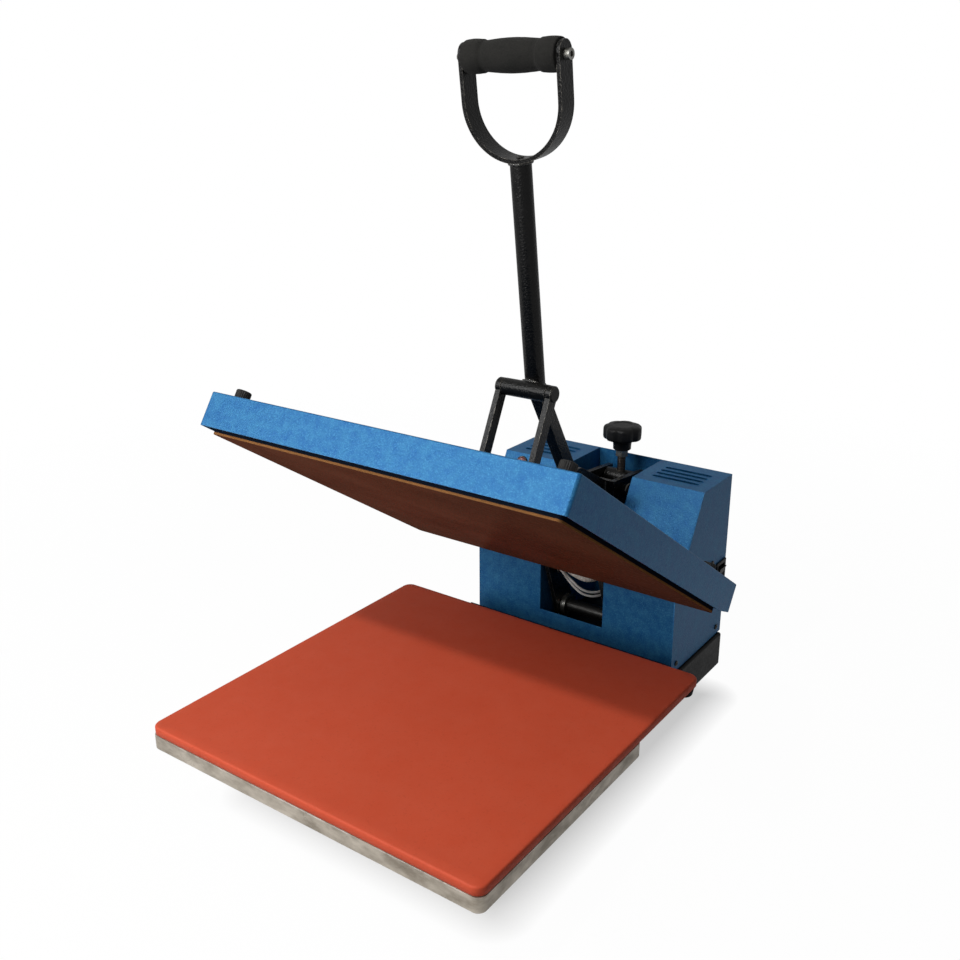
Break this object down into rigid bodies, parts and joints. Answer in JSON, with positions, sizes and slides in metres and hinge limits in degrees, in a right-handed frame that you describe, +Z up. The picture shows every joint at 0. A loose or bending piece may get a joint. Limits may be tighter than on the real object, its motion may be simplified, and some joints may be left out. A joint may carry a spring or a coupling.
{
  "type": "flat heat press",
  "caption": "Clamshell heat press for flat goods: hinged heated platen over a silicone pad, toggle lever with a D handle, pressure knob and a control tower.",
  "frame": {"origin": "middle of the footprint, on the bench, under the feet", "axes": "+X to the operator's right, +Y to the back, +Z up"},
  "size_m": [0.3956, 0.574, 0.7034],
  "materials": {
    "red_silicone": "matt terracotta silicone sponge",
    "bare_aluminium": "bare, fine machining marks",
    "frame_black": "black powder coat",
    "blue_paint": "metallic blue hammered enamel",
    "satin_black": "satin black powder coat",
    "black_rubber": "moulded",
    "zinc_steel": "bright zinc plate",
    "ground_steel": "ground and oiled",
    "spring_steel": "drawn wire",
    "element_steel": "heat tinted sheath",
    "cast_platen": "non-stick coated face, bare tan edge",
    "glass_wool": "needled glass fibre",
    "bronze": "sintered bronze",
    "black_plastic": "moulded",
    "black_caps": "semi-gloss moulded",
    "display_window": "smoked window",
    "button_rubber": "pale grey moulded",
    "red_lens": "clear red lens",
    "white_sleeve": "braided glass sleeve",
    "foam_rubber": "closed-cell foam"
  },
  "bodies": {
    "base": {"silicone_pad": "red_silicone", "lower_platen": "bare_aluminium", "frame_cross_tubes": "frame_black", "carrier_plate": "frame_black", "front_stop_bar": "frame_black", "plate_bolts": "zinc_steel", "left_rail": "frame_black", "right_rail": "frame_black", "rubber_feet": "black_rubber", "base_plate": "frame_black", "hinge_uprights": "frame_black", "hinge_shaft": "ground_steel", "shaft_collars": "zinc_steel", "thrust_bracket": "frame_black", "front_apron": "blue_paint", "left_tower_cover": "blue_paint", "right_tower_cover": "blue_paint", "left_side_panel": "blue_paint", "right_side_panel": "blue_paint", "channel_walls": "blue_paint", "rear_panel": "blue_paint", "panel_screws": "zinc_steel", "controller_case": "black_plastic", "controller_display": "display_window", "pilot_lamp": "red_lens", "switch_frame": "black_plastic", "mains_inlet": "black_plastic", "relay_on_heat_sink": "bare_aluminium", "heater_sleeve": "white_sleeve", "sensor_leads": "white_sleeve", "return_springs": "spring_steel"},
    "upper_platen": {"platen_cover": "blue_paint", "cover_cap_screws": "black_caps", "heating_platen": "cast_platen", "heating_element": "element_steel", "insulation_mat": "glass_wool", "temperature_probe": "zinc_steel", "platen_arms": "satin_black", "arm_bushes": "bronze", "link_pins": "zinc_steel", "lead_gland": "black_plastic"},
    "links": {"toggle_links": "satin_black", "link_bolts": "zinc_steel"},
    "lever": {"cross_tube": "satin_black", "lever_arm": "satin_black", "lever_shaft": "satin_black", "handle_strap": "satin_black", "foam_grip": "foam_rubber", "handle_fasteners": "zinc_steel"},
    "yoke": {"adjuster_yoke": "satin_black", "yoke_pins": "zinc_steel"},
    "trunnion": {"trunnion": "satin_black"},
    "adjuster": {"pressure_screw": "zinc_steel", "jam_nut": "zinc_steel", "pressure_knob": "black_plastic"},
    "set_button": {"set_button": "button_rubber"},
    "down_button": {"down_button": "button_rubber"},
    "up_button": {"up_button": "button_rubber"},
    "power_rocker": {"power_rocker": "black_plastic"}
  },
  "joints": [
    {"name": "platen_hinge", "type": "hinge", "parent": "base", "child": "upper_platen", "pos_m": [0, 0.1981, 0.078], "axis": [1, 0, 0], "range_deg": [0, 33.48], "stiffness_Nm_per_rad": 34, "springref_deg": -57.3, "deforming": ["return_springs", "heater_sleeve", "sensor_leads"]},
    {"name": "link_swing", "type": "hinge", "parent": "upper_platen", "child": "links", "pos_m": [0, 0.01551, 0.29336], "axis": [1, 0, 0], "range_deg": [-72.07, 0]},
    {"name": "lever_swing", "type": "hinge", "parent": "yoke", "child": "lever", "pos_m": [0, 0.145, 0.2628], "axis": [1, 0, 0], "range_deg": [0, 79.22]},
    {"name": "pressure_knob", "type": "hinge", "parent": "base", "child": "adjuster", "pos_m": [0, 0.264, 0.2754], "axis": [0, 0, 1], "range_deg": [-270, 270]},
    {"name": "yoke_tilt", "type": "hinge", "parent": "base", "child": "yoke", "pos_m": [0, 0.228, 0.2274], "axis": [1, 0, 0], "range_deg": [-1.8, 1.8]},
    {"name": "trunnion_tilt", "type": "hinge", "parent": "yoke", "child": "trunnion", "pos_m": [0, 0.264, 0.2274], "axis": [1, 0, 0], "range_deg": [-1.8, 1.8]},
    {"name": "set_button_press", "type": "slide", "parent": "base", "child": "set_button", "axis": [0, 0.8788, -0.4771], "range_m": [0, 0.0012], "stiffness_N_per_m": 300},
    {"name": "down_button_press", "type": "slide", "parent": "base", "child": "down_button", "axis": [0, 0.8788, -0.4771], "range_m": [0, 0.0012], "stiffness_N_per_m": 300},
    {"name": "up_button_press", "type": "slide", "parent": "base", "child": "up_button", "axis": [0, 0.8788, -0.4771], "range_m": [0, 0.0012], "stiffness_N_per_m": 300},
    {"name": "power_rocker_tilt", "type": "hinge", "parent": "base", "child": "power_rocker", "pos_m": [0.1246, 0.272, 0.1324], "axis": [0, -1, 0], "range_deg": [0, 18]}
  ],
  "couplings": [
    {"joint": "link_swing", "follows": "platen_hinge", "ratio": -2.1465},
    {"joint": "lever_swing", "follows": "platen_hinge", "ratio": 2.3602},
    {"joint": "yoke_tilt", "follows": "pressure_knob", "ratio": 0.006631},
    {"joint": "trunnion_tilt", "follows": "pressure_knob", "ratio": -0.006631}
  ]
}
